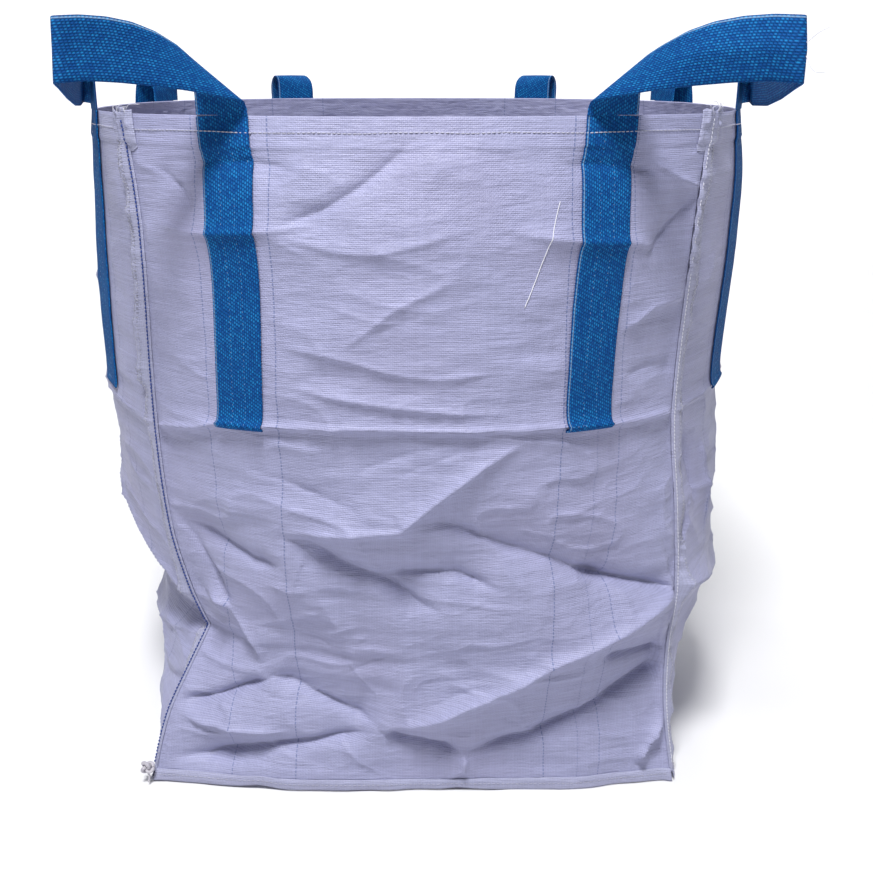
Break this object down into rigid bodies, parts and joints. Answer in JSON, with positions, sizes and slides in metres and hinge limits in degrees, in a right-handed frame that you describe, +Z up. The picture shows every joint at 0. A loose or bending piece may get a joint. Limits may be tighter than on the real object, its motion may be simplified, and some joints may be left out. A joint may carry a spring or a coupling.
{
  "type": "bulk bag",
  "caption": "Open-top bulk bag of woven polypropylene with sewn corner seams and cross-corner lifting loops of blue webbing.",
  "frame": {"origin": "centre of the base's underside, where the bag stands on the floor", "axes": "+Z up towards the open rim, -Y towards the front panel, +X towards the bag's right seen from the front"},
  "size_m": [1.102, 1.2007, 1.167],
  "materials": {
    "panel_cloth": "woven polypropylene tape, pale lavender white, faint ribs, slight sheen",
    "seam_cloth": "folded seam allowance of the same woven cloth",
    "webbing": "blue twill lifting webbing with light flecks and a pale selvage line",
    "white_thread": "white multifilament sewing thread",
    "blue_thread": "dark blue chain stitch thread",
    "filler_cord": "soft white filler cord with dark flecks"
  },
  "bodies": {
    "bag": {"back_base_seam": "seam_cloth", "back_base_thread": "white_thread", "back_hem_thread": "white_thread", "back_left_back_leg": "webbing", "back_left_back_leg_stitches": "white_thread", "back_left_corner_seam": "seam_cloth", "back_left_corner_thread": "white_thread", "back_left_left_leg": "webbing", "back_left_left_leg_stitches": "white_thread", "back_panel": "panel_cloth", "back_right_back_leg": "webbing", "back_right_back_leg_stitches": "white_thread", "back_right_corner_seam": "seam_cloth", "back_right_corner_thread": "white_thread", "back_right_right_leg": "webbing", "back_right_right_leg_stitches": "white_thread", "base_panel": "panel_cloth", "corner_cord_knot": "filler_cord", "front_base_seam": "seam_cloth", "front_base_thread": "white_thread", "front_hem_thread": "white_thread", "front_left_corner_seam": "seam_cloth", "front_left_corner_thread": "blue_thread", "front_left_front_leg": "webbing", "front_left_front_leg_stitches": "white_thread", "front_left_left_leg": "webbing", "front_left_left_leg_stitches": "white_thread", "front_panel": "panel_cloth", "front_right_corner_seam": "seam_cloth", "front_right_corner_thread": "white_thread", "front_right_front_leg": "webbing", "front_right_front_leg_stitches": "white_thread", "front_right_right_leg": "webbing", "front_right_right_leg_stitches": "white_thread", "left_base_seam": "seam_cloth", "left_base_thread": "white_thread", "left_hem_thread": "white_thread", "left_panel": "panel_cloth", "right_base_seam": "seam_cloth", "right_base_thread": "white_thread", "right_hem_thread": "white_thread", "right_panel": "panel_cloth"},
    "back_left_loop": {"back_left_loop": "webbing"},
    "back_right_loop": {"back_right_loop": "webbing"},
    "front_left_loop": {"front_left_loop": "webbing"},
    "front_right_loop": {"front_right_loop": "webbing"}
  },
  "joints": [
    {"name": "back_left_loop_swing", "type": "hinge", "parent": "bag", "child": "back_left_loop", "pos_m": [-0.3645, 0.36325, 1.084], "axis": [0.7094, 0.7048, 0], "range_deg": [0, 165]},
    {"name": "back_right_loop_swing", "type": "hinge", "parent": "bag", "child": "back_right_loop", "pos_m": [0.36542, 0.36357, 1.084], "axis": [0.7132, -0.7009, 0], "range_deg": [0, 165]},
    {"name": "front_left_loop_swing", "type": "hinge", "parent": "bag", "child": "front_left_loop", "pos_m": [-0.36363, -0.35946, 1.084], "axis": [-0.7114, 0.7028, 0], "range_deg": [-30, 140]},
    {"name": "front_right_loop_swing", "type": "hinge", "parent": "bag", "child": "front_right_loop", "pos_m": [0.37253, -0.36039, 1.084], "axis": [-0.7081, -0.7061, 0], "range_deg": [-30, 140]}
  ]
}
